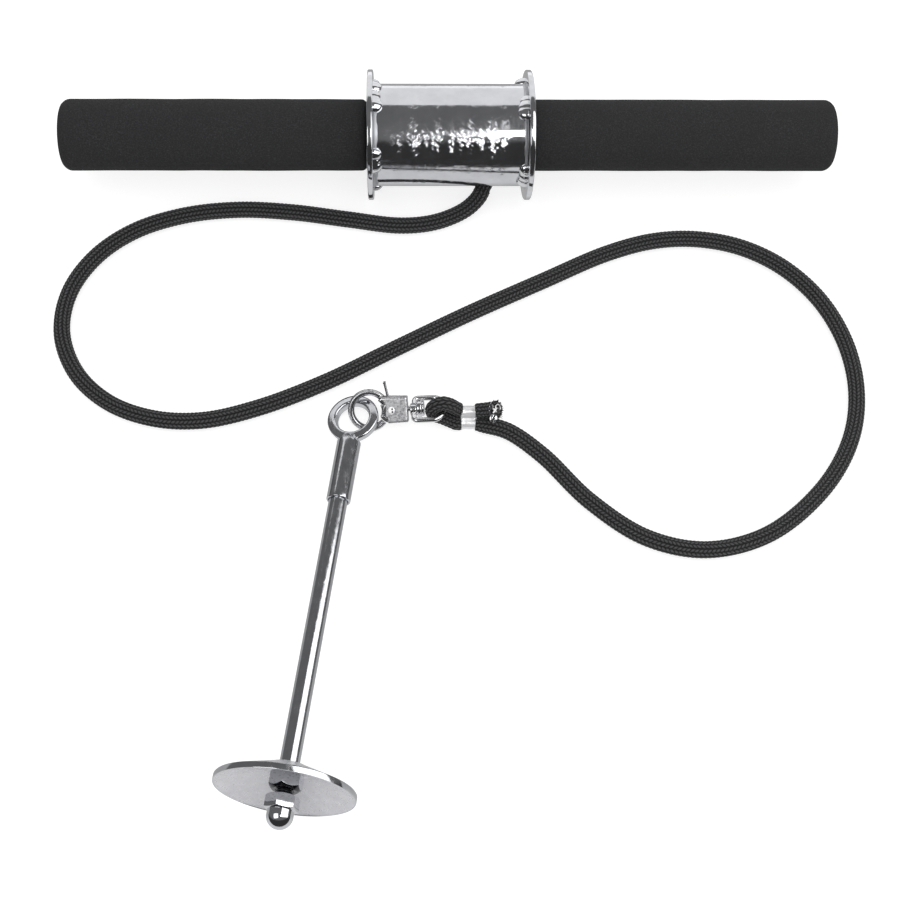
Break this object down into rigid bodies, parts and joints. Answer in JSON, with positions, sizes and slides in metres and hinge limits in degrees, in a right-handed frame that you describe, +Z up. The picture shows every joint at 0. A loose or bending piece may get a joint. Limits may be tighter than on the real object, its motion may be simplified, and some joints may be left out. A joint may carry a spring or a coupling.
{
  "type": "wrist roller",
  "caption": "Wrist roller with foam grips, a chromed drum, a braided black rope, a swivel snap hook and a loading pin, laid out on the floor.",
  "frame": {"origin": "on the floor, under the middle of the rigid pieces' extent; the rope and what is crimped on it are left out of the middle", "axes": "+X along the roller bar, +Y from the loading pin towards the roller, +Z up"},
  "size_m": [0.4278, 0.4016, 0.0688],
  "materials": {
    "chrome": "bright plating on welded steel",
    "scuffed_chrome": "plating with fine scratches",
    "die_cast": "rough zinc casting, bright plated",
    "aluminium": "bright, pressed",
    "foam": "matt closed-cell foam",
    "rope": "braided polypropylene",
    "plastic": "moulded"
  },
  "bodies": {
    "root": {"rope": "rope", "rope_eye": "rope", "rope_tail": "rope", "ferrule": "aluminium", "tail_wire": "aluminium", "tail_screw": "aluminium", "swivel_eye": "die_cast"},
    "roller": {"bar": "scuffed_chrome", "bar_plug_right": "plastic", "bar_plug_left": "plastic", "drum": "scuffed_chrome", "flange_right": "chrome", "flange_left": "chrome", "weld_left_1": "chrome", "weld_left_2": "chrome", "weld_left_3": "chrome", "weld_left_4": "chrome", "weld_left_5": "chrome", "weld_left_6": "chrome", "weld_right_1": "chrome", "weld_right_2": "chrome", "weld_right_3": "chrome", "weld_right_4": "chrome", "weld_right_5": "chrome", "bar_weld_right": "scuffed_chrome", "bar_weld_left": "scuffed_chrome", "grip_right": "foam", "grip_left": "foam", "rope_knot": "rope"},
    "hook": {"hook_body": "die_cast", "trigger_rivet": "aluminium", "trigger_spring": "chrome", "swivel_post": "die_cast"},
    "trigger": {"trigger": "die_cast"},
    "pin": {"pin_eye": "chrome", "pin_rod": "chrome", "pin_plate": "scuffed_chrome", "hex_nut": "chrome", "acorn_nut": "chrome"}
  },
  "joints": [
    {"name": "bar_roll", "type": "hinge", "parent": "root", "child": "roller", "pos_m": [0, 0.16639, 0.0344], "axis": [-1, 0, 0], "continuous": true},
    {"name": "hook_swivel", "type": "hinge", "parent": "root", "child": "hook", "pos_m": [-0.044, 0.01749, 0.0068], "axis": [-0.9954, 0, -0.0958], "range_deg": [-120, 90]},
    {"name": "trigger_pull", "type": "hinge", "parent": "hook", "child": "trigger", "pos_m": [-0.03076, 0.01749, 0.00808], "axis": [0.0813, 0.5299, -0.8441], "range_deg": [0, 50], "stiffness_Nm_per_rad": 0.02, "springref_deg": -34.38},
    {"name": "pin_swing", "type": "hinge", "parent": "hook", "child": "pin", "pos_m": [-0.04261, 0.01749, 0.00693], "axis": [-0.0813, -0.5299, 0.8441], "range_deg": [-50, 4]}
  ]
}
